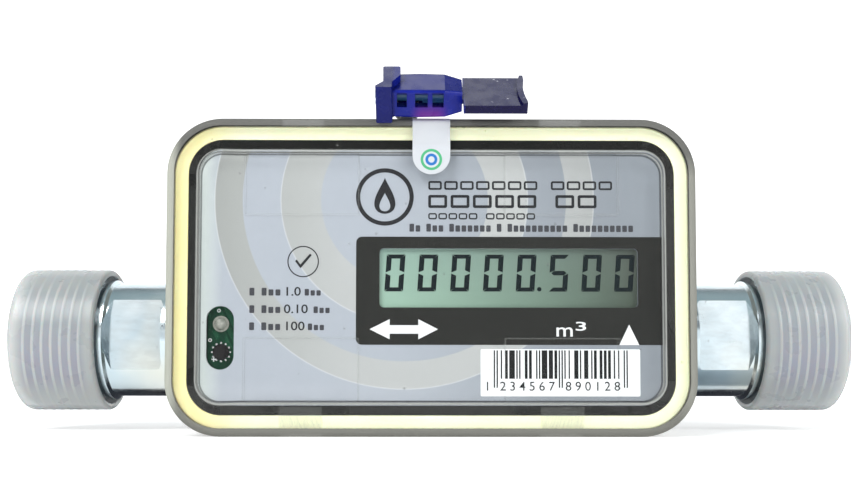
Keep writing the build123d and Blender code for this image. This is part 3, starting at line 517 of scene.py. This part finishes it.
def cap_translucent():
    """Milky soft plastic, paler at its closed end, with painted light and shade over the thread's turns and
    painted shade in its bore.
    """
    shader = Shader("cap_translucent")
    x, y, z = shader.axes()
    first_turn, last_turn, closed_end = 86.5, 104.5, 105.0
    cloud = shader.noise(45.0, detail=3)
    from_y = shader.math("SUBTRACT", y, CAP_AXIS_Y)
    from_z = shader.math("SUBTRACT", z, CAP_AXIS_Z)
    turned = shader.math("DIVIDE", shader.math("ARCTAN2", from_z, from_y), 2 * math.pi)
    reach = shader.math("ABSOLUTE", x)
    along = shader.math("DIVIDE", shader.math("SUBTRACT", reach, CAP_MOUTH), CAP_PITCH)
    phase = shader.math("PINGPONG", shader.math("SUBTRACT", along, turned), 0.5)
    crest = shader.span(phase, 0.22, 0.08, smooth=True)
    threaded = shader.math(
        "MULTIPLY",
        shader.span(reach, first_turn, first_turn + 2.0),
        shader.span(reach, last_turn, last_turn - 2.0),
    )
    level = shader.span(shader.math("ABSOLUTE", from_z), 9.0, 15.5, 1.0, 0.15, smooth=True)
    threaded = shader.math("MULTIPLY", threaded, level)
    # Paler crests and darker grooves: the thread's turns seen through the plastic, with painted light on the
    # crests and painted shade between them.
    lower = shader.span(from_z, 6.0, -6.0)
    between = shader.mix(lower, (0.37, 0.40, 0.415), (0.37, 0.38, 0.44))
    plain = shader.mix(cloud, (0.43, 0.465, 0.46), (0.48, 0.50, 0.50))
    over = shader.mix(cloud, (0.50, 0.53, 0.53), (0.58, 0.60, 0.60))
    colour = shader.mix(threaded, plain, shader.mix(crest, between, over))
    colour = shader.mix(shader.span(reach, 101.5, 106.0), colour, (0.62, 0.64, 0.63))
    # Painted shade: the whole right cap, away from the key light, is painted darker.
    colour = shader.mix(shader.span(x, 0.0, 1.0, 0.0, 0.14), colour, (0.20, 0.23, 0.26))
    # Painted shade inside the cup: its bore is painted dark.
    radius = shader.hypotenuse(from_y, from_z)
    within = shader.span(radius, CAP_RADIUS - 1.5, CAP_RADIUS - 1.7)
    bore = shader.math("MULTIPLY", within, shader.span(reach, closed_end + 0.1, closed_end - 0.1))
    colour = shader.mix(bore, colour, (0.07, 0.085, 0.10))
    relief = shader.bump(shader.noise(700.0, detail=3), 0.015)
    gloss = shader.span(shader.noise(160.0), 0.3, 0.7, 0.24, 0.36)
    milk = shader.node(
        "ShaderNodeBsdfPrincipled",
        base_color=colour,
        roughness=gloss,
        specular_ior_level=0.45,
        subsurface_weight=0.25,
        subsurface_scale=0.002,
        normal=relief,
    )
    clear = shader.node("ShaderNodeBsdfTransparent", color=(0.93, 0.95, 0.96))
    return shader.finish(shader.blend_surfaces(0.22, milk, clear))


def seal_blue():
    """Deep blue see-through plastic, scuffed on its plate; painted shade on its upward faces, a painted
    violet glow low in its barrel.
    """
    shader = Shader("seal_blue")
    x, _, z = shader.axes()
    cloud = shader.noise(150.0, detail=4)
    barrel = shader.mix(cloud, (0.006, 0.012, 0.20), (0.014, 0.026, 0.38))
    plate = shader.mix(cloud, (0.003, 0.002, 0.03), (0.008, 0.004, 0.06))
    colour = shader.mix(shader.span(x, 7.2, 7.8), barrel, plate)
    # Painted shade: faces that look upward are painted darker.
    colour = shader.mix(shader.span(shader.facing_up(), 0.3, 0.9, 0.0, 0.88), colour, (0.004, 0.006, 0.06))
    colour = shader.mix(shader.span(x, -8.4, -9.2, 0.0, 0.6), colour, (0.004, 0.006, 0.06))
    # Painted glow: a violet light painted low in the barrel, which moves with the seal.
    glow = shader.span(shader.math("ABSOLUTE", shader.math("ADD", x, 0.5)), 5.0, 1.5, smooth=True)
    glow = shader.math("MULTIPLY", glow, shader.span(z, 77.0, 75.0, 0.0, 0.7))
    colour = shader.mix(glow, colour, (0.22, 0.03, 0.30))
    scuffs = shader.math("MULTIPLY", shader.specks(700.0, 0.22), shader.span(x, 13.0, 15.0))
    scuffs = shader.math("MULTIPLY", scuffs, shader.span(shader.noise(240.0, detail=1), 0.52, 0.60, 0.0, 0.8))
    colour = shader.mix(scuffs, colour, (0.55, 0.55, 0.62))
    gloss = shader.span(shader.noise(300.0, detail=4), 0.3, 0.7, 0.16, 0.34)
    relief = shader.bump(shader.noise(500.0, detail=4), 0.03)
    body = shader.node(
        "ShaderNodeBsdfPrincipled",
        base_color=colour,
        roughness=gloss,
        specular_ior_level=0.26,
        normal=relief,
    )
    clear = shader.node("ShaderNodeBsdfTransparent", color=(0.02, 0.03, 0.28))
    return shader.finish(shader.blend_surfaces(0.24, body, clear))


def lamp_clear():
    """Water-clear lamp with a warm die inside."""
    shader = Shader("led_clear")
    spots = shader.noise(900.0, detail=2)
    colour = shader.mix(spots, (0.16, 0.18, 0.14), (0.70, 0.69, 0.60))
    milk = shader.node("ShaderNodeBsdfPrincipled", base_color=colour, roughness=0.12, coat_weight=0.6)
    clear = shader.node("ShaderNodeBsdfTransparent", color=(0.95, 0.97, 0.93))
    return shader.finish(shader.blend_surfaces(0.3, milk, clear))


MATERIALS = {
    "clear_cover": clear_cover,
    "case_grey": lambda: moulded("case_grey", (0.225, 0.225, 0.20), 0.45, grain=0.04, grain_scale=1500.0),
    "gasket_cream": gasket_cream,
    "frame_black": lambda: moulded(
        "frame_black", (0.012, 0.012, 0.010), 0.4, spread=0.25, specular_ior_level=0.3
    ),
    "dial_print": dial_print,
    "paper_label": paper_label,
    "tamper_foil": tamper_foil,
    "lcd_glass": lcd_glass,
    "lcd_reflector": lambda: moulded("lcd_reflector", (0.45, 0.50, 0.45), 0.3, metallic=0.4),
    "pin_tin": lambda: moulded("pin_tin", (0.70, 0.70, 0.68), 0.25, metallic=1.0),
    "pcb_green": pcb_green,
    "header_black": lambda: moulded("header_black", (0.02, 0.02, 0.02), 0.4),
    "led_clear": lamp_clear,
    "lens_dark": lambda: moulded("lens_dark", (0.012, 0.010, 0.010), 0.12, grain=0.0),
    "chip_black": lambda: moulded("chip_black", (0.018, 0.018, 0.020), 0.5),
    "crystal_can": lambda: moulded("crystal_can", (0.72, 0.71, 0.67), 0.25, metallic=1.0),
    "capacitor_tan": lambda: moulded("capacitor_tan", (0.42, 0.27, 0.13), 0.5),
    "connector_white": lambda: moulded("connector_white", (0.80, 0.78, 0.70), 0.4),
    "screw_steel": lambda: moulded("screw_steel", (0.60, 0.60, 0.60), 0.28, metallic=1.0),
    "chassis_grey": lambda: moulded("chassis_grey", (0.16, 0.165, 0.17), 0.5, grain=0.04),
    "battery_sleeve": lambda: moulded("battery_sleeve", (0.05, 0.22, 0.13), 0.25),
    "holder_black": lambda: moulded("holder_black", (0.02, 0.02, 0.022), 0.45),
    "lead_red": lambda: moulded("lead_red", (0.45, 0.03, 0.02), 0.4),
    "lead_grey": lambda: moulded("lead_grey", (0.25, 0.25, 0.26), 0.45),
    "tube_alloy": lambda: moulded("tube_alloy", (0.70, 0.71, 0.72), 0.38, metallic=1.0, grain=0.05),
    "transducer_steel": lambda: moulded("transducer_steel", (0.62, 0.62, 0.61), 0.3, metallic=1.0),
    "nut_black": lambda: moulded("nut_black", (0.03, 0.03, 0.03), 0.4),
    "seal_rubber": lambda: moulded("seal_rubber", (0.025, 0.025, 0.027), 0.7, grain=0.05),
    "straightener_white": lambda: moulded("straightener_white", (0.75, 0.75, 0.72), 0.45),
    "screen_steel": lambda: moulded("screen_steel", (0.58, 0.58, 0.57), 0.3, metallic=1.0),
    "zinc_steel": zinc_steel,
    "cap_translucent": cap_translucent,
    "seal_blue": seal_blue,
    "rotor_plastic": lambda: moulded("rotor_plastic", (0.05, 0.17, 0.36), 0.3),
    "wire_steel": lambda: moulded("wire_steel", (0.62, 0.62, 0.62), 0.3, metallic=1.0),
}


def dress_nodes():
    """Each CAD node takes the material of its slot in the record."""
    made = {slot: make() for slot, make in MATERIALS.items()}
    for row in frame["record"]["subparts"]:
        mesh = frame["nodes"][row["node"]].data
        mesh.materials.clear()
        mesh.materials.append(made[row["material_slot"]])
    return made


# ---------------------------------------------------------------- plug caps

def add_cap(node, body, material):
    """A soft cup drawn tight over the thread, whose turns stand out on it as a low spiral ridge."""
    low, high = node_box(node)
    radius = CAP_RADIUS
    side = 1 if low.x > 0 else -1
    depth = high.x - low.x
    ridge_height, ridge_width, steps, turns = 0.06, 0.34, 110, 128
    bore, floor = radius - 1.8, 1.2
    outside = [(0.3, radius - 0.25), (0.7, radius - ridge_height)]
    outside += [(0.7 + (depth - 2.6) * step / steps, radius - ridge_height) for step in range(1, steps + 1)]
    bend = 1.9 - ridge_height
    for step in range(1, 7):
        angle = math.pi / 2 * step / 6
        outside.append((depth - bend + bend * math.sin(angle), radius - 1.9 + bend * math.cos(angle)))
    inside = [(depth - floor, bore - 0.3), (depth - floor - 0.3, bore), (0.4, bore), (0.0, bore + 0.4)]
    rows = [(0.0, radius - 0.6)] + outside + [(depth, 4.0)] + [(depth - floor, 4.0)] + inside
    ridge_rows = range(3, len(outside) - 8)
    shape = bmesh.new()
    loops = []
    for index, (along, r) in enumerate(rows):
        loop = []
        for turn in range(turns):
            angle = 2 * math.pi * turn / turns
            swell = 0.0
            if index in ridge_rows:
                offset = (along - CAP_PITCH * turn / turns + CAP_PITCH / 2) % CAP_PITCH - CAP_PITCH / 2
                from_mouth = min(1.0, max(0.0, (along - 1.2) / 1.5))
                from_end = min(1.0, max(0.0, (depth - 3.2 - along) / 1.5))
                fade = from_mouth * from_end
                swell = ridge_height * fade * math.exp(-((offset / ridge_width) ** 2))
            place = (
                side * (CAP_MOUTH + along),
                CAP_AXIS_Y + (r + swell) * math.cos(angle),
                CAP_AXIS_Z + (r + swell) * math.sin(angle),
            )
            loop.append(shape.verts.new(Vector(place) * MM))
        loops.append(loop)
    end_outside, end_inside = loops[len(outside) + 1], loops[len(outside) + 2]
    for first, second in zip(loops, loops[1:] + loops[:1]):
        if first is end_outside:
            continue
        for turn in range(turns):
            after = (turn + 1) % turns
            shape.faces.new((first[turn], first[after], second[after], second[turn]))
    shape.faces.new(end_outside)
    shape.faces.new(end_inside)
    bmesh.ops.recalc_face_normals(shape, faces=shape.faces)
    mesh = bpy.data.meshes.new(f"{node}_soft")
    shape.to_mesh(mesh)
    shape.free()
    mesh.shade_smooth()
    mesh.materials.append(material)
    cap = bpy.data.objects.new(f"{node}_soft", mesh)
    bpy.context.scene.collection.objects.link(cap)
    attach(cap, body)
    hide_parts(node)


# ---------------------------------------------------------------- printed marks

def flat_piece(name, loops, front, material, thickness=PRINT_THICKNESS):
    """Flat closed plates facing -Y from loops of (x, z) points; a loop inside another is a hole."""
    curve = bpy.data.curves.new(name, "CURVE")
    curve.dimensions = "2D"
    curve.fill_mode = "BOTH"
    curve.extrude = thickness / 2
    for loop in loops:
        spline = curve.splines.new("POLY")
        spline.points.add(len(loop) - 1)
        for point, (x, z) in zip(spline.points, loop):
            point.co = (x, z, 0, 1)
        spline.use_cyclic_u = True
    print_piece(name, [(curve, Matrix.Identity(4))], front, material, thickness)


def text_piece(name, text, size, left, baseline, front, material, bold=0.0, pitch=None, wide=1.0):
    """Generic figures or a unit as closed plates facing -Y, set from left along the baseline."""
    pieces = []
    for index, letter in enumerate(text if pitch else [text]):
        curve = bpy.data.curves.new(name, "FONT")
        curve.body = letter
        curve.size = size
        curve.offset = bold
        curve.fill_mode = "BOTH"
        curve.extrude = PRINT_THICKNESS / 2
        curve.resolution_u = 4
        shift = Matrix.Translation((left + index * (pitch or 0), baseline, 0))
        pieces.append((curve, shift @ Matrix.Diagonal((wide, 1, 1, 1))))
    print_piece(name, pieces, front, material, PRINT_THICKNESS)


def print_piece(name, curves, front, material, thickness):
    """Filled flat curves as one closed mesh on the meter, upright with its face at y = front."""
    shape = bmesh.new()
    for curve, shift in curves:
        holder = bpy.data.objects.new("holder", curve)
        bpy.context.scene.collection.objects.link(holder)
        bpy.context.view_layer.update()
        flat = bpy.data.meshes.new_from_object(holder.evaluated_get(bpy.context.evaluated_depsgraph_get()))
        flat.transform(shift)
        shape.from_mesh(flat)
        bpy.data.objects.remove(holder)
        bpy.data.curves.remove(curve)
        bpy.data.meshes.remove(flat)
    bmesh.ops.remove_doubles(shape, verts=shape.verts, dist=0.0005)
    upright = Matrix.Translation((0, front + thickness / 2, 0)) @ Matrix.Rotation(math.radians(90), 4, "X")
    bmesh.ops.transform(shape, matrix=Matrix.Scale(MM, 4) @ upright, verts=shape.verts)
    bmesh.ops.recalc_face_normals(shape, faces=shape.faces)
    mesh = bpy.data.meshes.new(name)
    shape.to_mesh(mesh)
    shape.free()
    mesh.materials.append(material)
    piece = bpy.data.objects.new(name, mesh)
    bpy.context.scene.collection.objects.link(piece)
    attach(piece, "meter")


def rectangle(x0, x1, z0, z1):
    return [(x0, z0), (x1, z0), (x1, z1), (x0, z1)]


def rounded(x0, x1, z0, z1, radius, corners=("ll", "lr", "ur", "ul"), steps=6):
    """A rectangle with the named corners rounded."""
    loop = []
    centres = {
        "ll": (x0 + radius, z0 + radius, 180),
        "lr": (x1 - radius, z0 + radius, 270),
        "ur": (x1 - radius, z1 - radius, 0),
        "ul": (x0 + radius, z1 - radius, 90),
    }
    square = {"ll": (x0, z0), "lr": (x1, z0), "ur": (x1, z1), "ul": (x0, z1)}
    for corner, (cx, cz, start) in centres.items():
        if corner not in corners:
            loop.append(square[corner])
            continue
        for step in range(steps + 1):
            angle = math.radians(start + 90 * step / steps)
            loop.append((cx + radius * math.cos(angle), cz + radius * math.sin(angle)))
    return loop


def circle(x, z, radius, steps=48):
    angles = [2 * math.pi * step / steps for step in range(steps)]
    return [(x + radius * math.cos(angle), z + radius * math.sin(angle)) for angle in angles]


def ring(x, z, outer, inner):
    return [circle(x, z, outer), circle(x, z, inner)]


def hollow(x0, x1, z0, z1, stroke, radius):
    """A rounded box outline."""
    inner = rounded(x0 + stroke, x1 - stroke, z0 + stroke, z1 - stroke, max(0.05, radius - stroke))
    return [rounded(x0, x1, z0, z1, radius), inner]


def ink(name, colour, rough=0.5):
    """Printing ink with a faint unevenness."""
    return moulded(name, colour, rough, grain=0.004, grain_scale=900.0, spread=0.10, specular_ior_level=0.15)


DIAL_FACE = DIAL_LOW.y


def add_display_surround(dark, white):
    """Dark field round the display's window, with a double arrow, a triangle and the unit on it."""
    middle = CENTRE_Z
    foot = middle - 15.9
    window_middle, window_half = middle - 0.2, 6.95
    field = rounded(-17.7, DIAL_HIGH.x, foot, middle + 9.5, 1.4, corners=("ll", "ul"))
    window = rounded(-12.2, 48.4, window_middle - window_half, window_middle + window_half, 1.0)
    flat_piece("display_surround", [field, window], DIAL_FACE - PRINT_THICKNESS, dark)
    top = DIAL_FACE - 2 * PRINT_THICKNESS
    arrow = [(-14.5, -12.25), (-9.8, -9.9), (-9.8, -11.3), (-3.1, -11.3), (-3.1, -9.9), (1.5, -12.25)]
    arrow += [(-3.1, -14.6), (-3.1, -13.3), (-9.8, -13.3), (-9.8, -14.6)]
    arrow = [(x, middle + z) for x, z in arrow]
    triangle = [(43.9, foot), (48.6, foot), (46.25, middle - 11.1)]
    flat_piece("flow_arrow", [arrow], top, white)
    flat_piece("end_triangle", [triangle], top, white)
    text_piece("unit_m", "m", 4.6, 28.9, middle - 13.9, top, white, bold=0.02, wide=1.25)
    text_piece("unit_cube", "3", 2.9, 33.4, middle - 12.5, top, white, bold=0.03, wide=2.2)


# The strokes of the two digits shown, by the usual letters of a seven-stroke digit.
SEGMENTS = {"0": "abcdef", "5": "afgcd"}


def segment_shapes(width, height, thin, thick, gap):
    """The seven strokes of an upright digit whose lower left corner is at 0, 0."""
    middle = height / 2

    def lying(outer_z, inner_z):
        """One level stroke, shorter on its inner edge."""
        inner = gap + thick * 0.75
        return [(gap, outer_z), (width - gap, outer_z), (width - inner, inner_z), (inner, inner_z)]

    def standing(x, outer_z, inner_z, left):
        """One upright from its outer end, cut at a slant, to its end at the digit's middle."""
        inner_x = x + thick if left else x - thick
        up = 1 if inner_z > outer_z else -1
        return [
            (x, outer_z + up * gap),
            (inner_x, outer_z + up * (gap + thin * 0.95)),
            (inner_x, inner_z - up * (gap + thin * 0.55)),
            (x, inner_z - up * gap),
        ]

    half_bar = thin * 0.55
    return {
        "a": lying(height, height - thin),
        "d": lying(0, thin),
        "g": [
            (gap + 0.3, middle),
            (gap + 0.9, middle + half_bar),
            (width - gap - 0.9, middle + half_bar),
            (width - gap - 0.3, middle),
            (width - gap - 0.9, middle - half_bar),
            (gap + 0.9, middle - half_bar),
        ],
        "f": standing(0, height, middle + 0.02, True),
        "e": standing(0, 0, middle - 0.02, True),
        "b": standing(width, height, middle + 0.02, False),
        "c": standing(width, 0, middle - 0.02, False),
    }


def add_display_digits(liquid):
    """Eight slanted seven-stroke digits and a decimal point."""
    width, height, pitch = 4.4, 8.7, 7.72
    left, bottom = -11.1, CENTRE_Z - 3.3
    strokes = segment_shapes(width, height, 0.95, 1.2, 0.10)
    loops = []
    for index, digit in enumerate("00000500"):
        start = left + index * pitch
        for stroke in SEGMENTS[digit]:
            loops.append([(start + x + DIGIT_SLANT * z, bottom + z) for x, z in strokes[stroke]])
    loops.append(circle(25.35, CENTRE_Z - 2.75, 0.52, 24))
    flat_piece("display_digits", loops, GLASS_LOW.y - PRINT_THICKNESS, liquid)


def add_titles(dark, grey):
    """Generic rows of cells where the dial's headings stand, and plain dashes for its small print."""
    face = DIAL_FACE - PRINT_THICKNESS
    middle = CENTRE_Z
    rows = (
        ("heading_upper", 20.6, 22.7, 3.2, 3.75, 0.46, -0.8, (7, 0, 4)),
        ("heading_main", 16.3, 19.4, 4.45, 5.25, 0.66, -0.8, (5, 0, 2)),
        ("heading_lower", 13.6, 15.1, 2.05, 2.38, 0.34, -0.8, (5, 0, 5)),
    )
    for name, z0, z1, wide, pitch, stroke, left, groups in rows:
        loops = []
        x = left
        for count in groups:
            if count == 0:
                x += pitch * 0.7
            for _ in range(count):
                loops += hollow(x, x + wide, middle + z0, middle + z1, stroke, 0.5)
                x += pitch
        flat_piece(name, loops, face, dark)
    dashes("small_print", -5.2, 10.7, 1.5, (2, 3, 7, 1, 10, 10), grey, face, wide=1.08, pitch=1.44)
    ratings = ((-4.4, "1.0", -29.7, 3), (-8.5, "0.10", -27.6, 3), (-12.5, "100", -28.9, 3))
    for row, (z, figures, unit_x, unit_length) in enumerate(ratings, 1):
        dashes(f"rating_row_{row}_label", -42.6, z, 1.45, (1, 3), grey, face, wide=1.15, pitch=1.62)
        name = f"rating_row_{row}_figures"
        text_piece(name, figures, 2.9, -34.6, middle + z, face, dark, bold=0.03, wide=1.15)
        dashes(f"rating_row_{row}_unit", unit_x, z, 1.25, (unit_length,), grey, face, wide=1.0, pitch=1.38)


def dashes(name, left, low, tall, words, material, face, wide=0.95, pitch=1.24):
    """A row of small upright blocks in groups."""
    loops = []
    x = left
    for count in words:
        for step in range(count):
            top = low + tall * (1.25 if step == 0 else 1.0)
            loops.append(rounded(x, x + wide, CENTRE_Z + low, CENTRE_Z + top, 0.2, steps=3))
            x += pitch
        x += pitch * 0.75
    flat_piece(name, loops, face, material)


def flame(x, z, tall):
    """A plain drop-shaped flame, point up."""
    loop = []
    for step in range(40):
        angle = 2 * math.pi * step / 40
        lift = (1 - math.cos(angle)) / 2
        sway = math.sin(angle) * math.sin(angle / 2) ** 1.6
        loop.append((x + tall * 0.42 * sway, z + tall * (0.5 - lift)))
    return loop


def add_icons(dark):
    """A flame in a ring, and a tick in a thin ring."""
    face = DIAL_FACE - PRINT_THICKNESS
    x, z = -11.0, CENTRE_Z + 18.9
    loops = ring(x, z, 6.8, 5.8)
    loops += [flame(x, z + 0.3, 8.6), flame(x, z - 1.2, 4.4)]
    flat_piece("flame_icon", loops, face, dark)
    x, z = -30.1, CENTRE_Z + 3.6
    tick = [(-1.9, 0.1), (-0.6, -1.6), (2.0, 1.5), (1.6, 1.9), (-0.65, -0.7), (-1.5, 0.5)]
    loops = ring(x, z, 3.7, 3.42) + [[(x + dx, z + dz) for dx, dz in tick]]
    flat_piece("tick_icon", loops, face, dark)


# The seven light or dark modules of each figure from 0 to 9, in a bar code's left half.
LEFT_CODES = "0001101 0011001 0010011 0111101 0100011 0110001 0101111 0111011 0110111 0001011".split()


def add_barcode(black):
    """Bars that spell plain counting digits, with the figures under them."""
    figures = "1234567890128"
    module = 0.33
    left = 14.5
    top = LABEL_HIGH.z - 0.25
    low, guard_low = CENTRE_Z - 23.8, CENTRE_Z - 25.9
    swapped = str.maketrans("01", "10")
    bars = "101" + "".join(LEFT_CODES[int(figure)] for figure in figures[1:7]) + "01010"
    bars += "".join(LEFT_CODES[int(figure)].translate(swapped) for figure in figures[7:]) + "101"
    guards = set(range(3)) | set(range(45, 50)) | set(range(92, 95))
    face = LABEL_LOW.y - PRINT_THICKNESS / 2
    loops = []
    start = 0
    while start < len(bars):
        end = start
        while end < len(bars) and bars[end] == bars[start] and (end in guards) == (start in guards):
            end += 1
        if bars[start] == "1":
            bottom = guard_low if start in guards else low
            loops.append(rectangle(left + start * module, left + end * module, bottom, top))
        start = end
    flat_piece("barcode_bars", loops, face, black, thickness=PRINT_THICKNESS / 2)
    base = CENTRE_Z - 26.55
    for group, text, at in (("lead", "1", 12.3), ("left", figures[1:7], 15.9), ("right", figures[7:], 31.2)):
        name = f"barcode_figures_{group}"
        text_piece(name, text, 3.0, at, base, face, black, bold=0.01, pitch=2.28)


def add_port_marks(white, pad):
    """Pads and silk marks on the small board behind the optical port."""
    face = BOARD_LOW.y - PRINT_THICKNESS
    x = (LENS_LOW.x + LENS_HIGH.x) / 2
    z = (LENS_LOW.z + LENS_HIGH.z) / 2
    pads = []
    for step in range(12):
        angle = 2 * math.pi * step / 12
        pads.append(circle(x + 2.15 * math.cos(angle), z + 2.15 * math.sin(angle), 0.24, 10))
    flat_piece("port_pads", pads, face, pad)
    marks = ring(-50.0, CENTRE_Z - 7.85, 0.42, 0.24) + ring(-52.0, CENTRE_Z - 14.8, 0.42, 0.24)
    cross_x, cross_z = -51.1, CENTRE_Z - 19.3
    cross = [(0.12, 0.55), (0.12, 0.12), (0.55, 0.12), (0.55, -0.12), (0.12, -0.12), (0.12, -0.55)]
    cross += [(-dx, -dz) for dx, dz in cross]
    marks.append([(cross_x + dx, cross_z + dz) for dx, dz in cross])
    flat_piece("port_silk", marks, face, white)


def add_sticker_emblem(blue, green):
    """A plain two-colour target on the sticker."""
    face = TAMPER_LOW.y - PRINT_THICKNESS
    x, z = (TAMPER_LOW.x + TAMPER_HIGH.x) / 2, CENTRE_Z + 27.2
    flat_piece("sticker_ring", ring(x, z, 2.5, 1.9), face, green)
    flat_piece("sticker_dot", ring(x, z, 1.4, 0.75), face, blue)


# ---------------------------------------------------------------- the whole

bpy.context.scene.view_settings.view_transform = "Standard"
add_camera()
add_world((0.20, 0.21, 0.22), (0.34, 0.42, 0.44))
add_area_light("key", (-0.5, -0.6, 0.75), (0, 0, 0.03), (0.5, 0.5), 8.0)
add_area_light("fill", (0.65, -0.6, 0.55), (0, 0, 0.03), (0.4, 0.5), 4.6)
add_area_light("overhead", (0.0, 0.12, 0.9), (0, -0.02, 0.08), (0.28, 0.40), 1.0)
add_area_light("card_left", (-0.38, -0.75, 0.12), (-0.07, 0, 0.03), (0.30, 0.40), 0.36)
add_area_light("card_right", (0.38, -0.75, 0.12), (0.07, 0, 0.03), (0.30, 0.40), 0.42)
add_floor()
add_dark_card("card_behind", (-160.0, 7.0), (160.0, 65.0), (0.02, 0.02, 0.035))
add_dark_card("card_right", (63.0, -14.0), (100.0, 3.0), (0.44, 0.50, 0.55))
finishes = dress_nodes()
add_cap("left_cap", "left_cap", finishes["cap_translucent"])
add_cap("right_cap", "right_cap", finishes["cap_translucent"])

dark_ink = ink("dark_ink", (0.022, 0.022, 0.024))
grey_ink = ink("grey_ink", (0.060, 0.060, 0.068))
white_ink = ink("white_ink", (0.88, 0.88, 0.87))
add_display_surround(ink("surround_ink", (0.020, 0.020, 0.017)), white_ink)
add_display_digits(ink("liquid_crystal", (0.002, 0.007, 0.009)))
add_titles(dark_ink, grey_ink)
add_icons(dark_ink)
add_barcode(ink("barcode_ink", (0.010, 0.010, 0.010)))
add_port_marks(white_ink, finishes["pin_tin"])
add_sticker_emblem(ink("emblem_blue", (0.03, 0.17, 0.50)), ink("emblem_green", (0.08, 0.42, 0.20)))
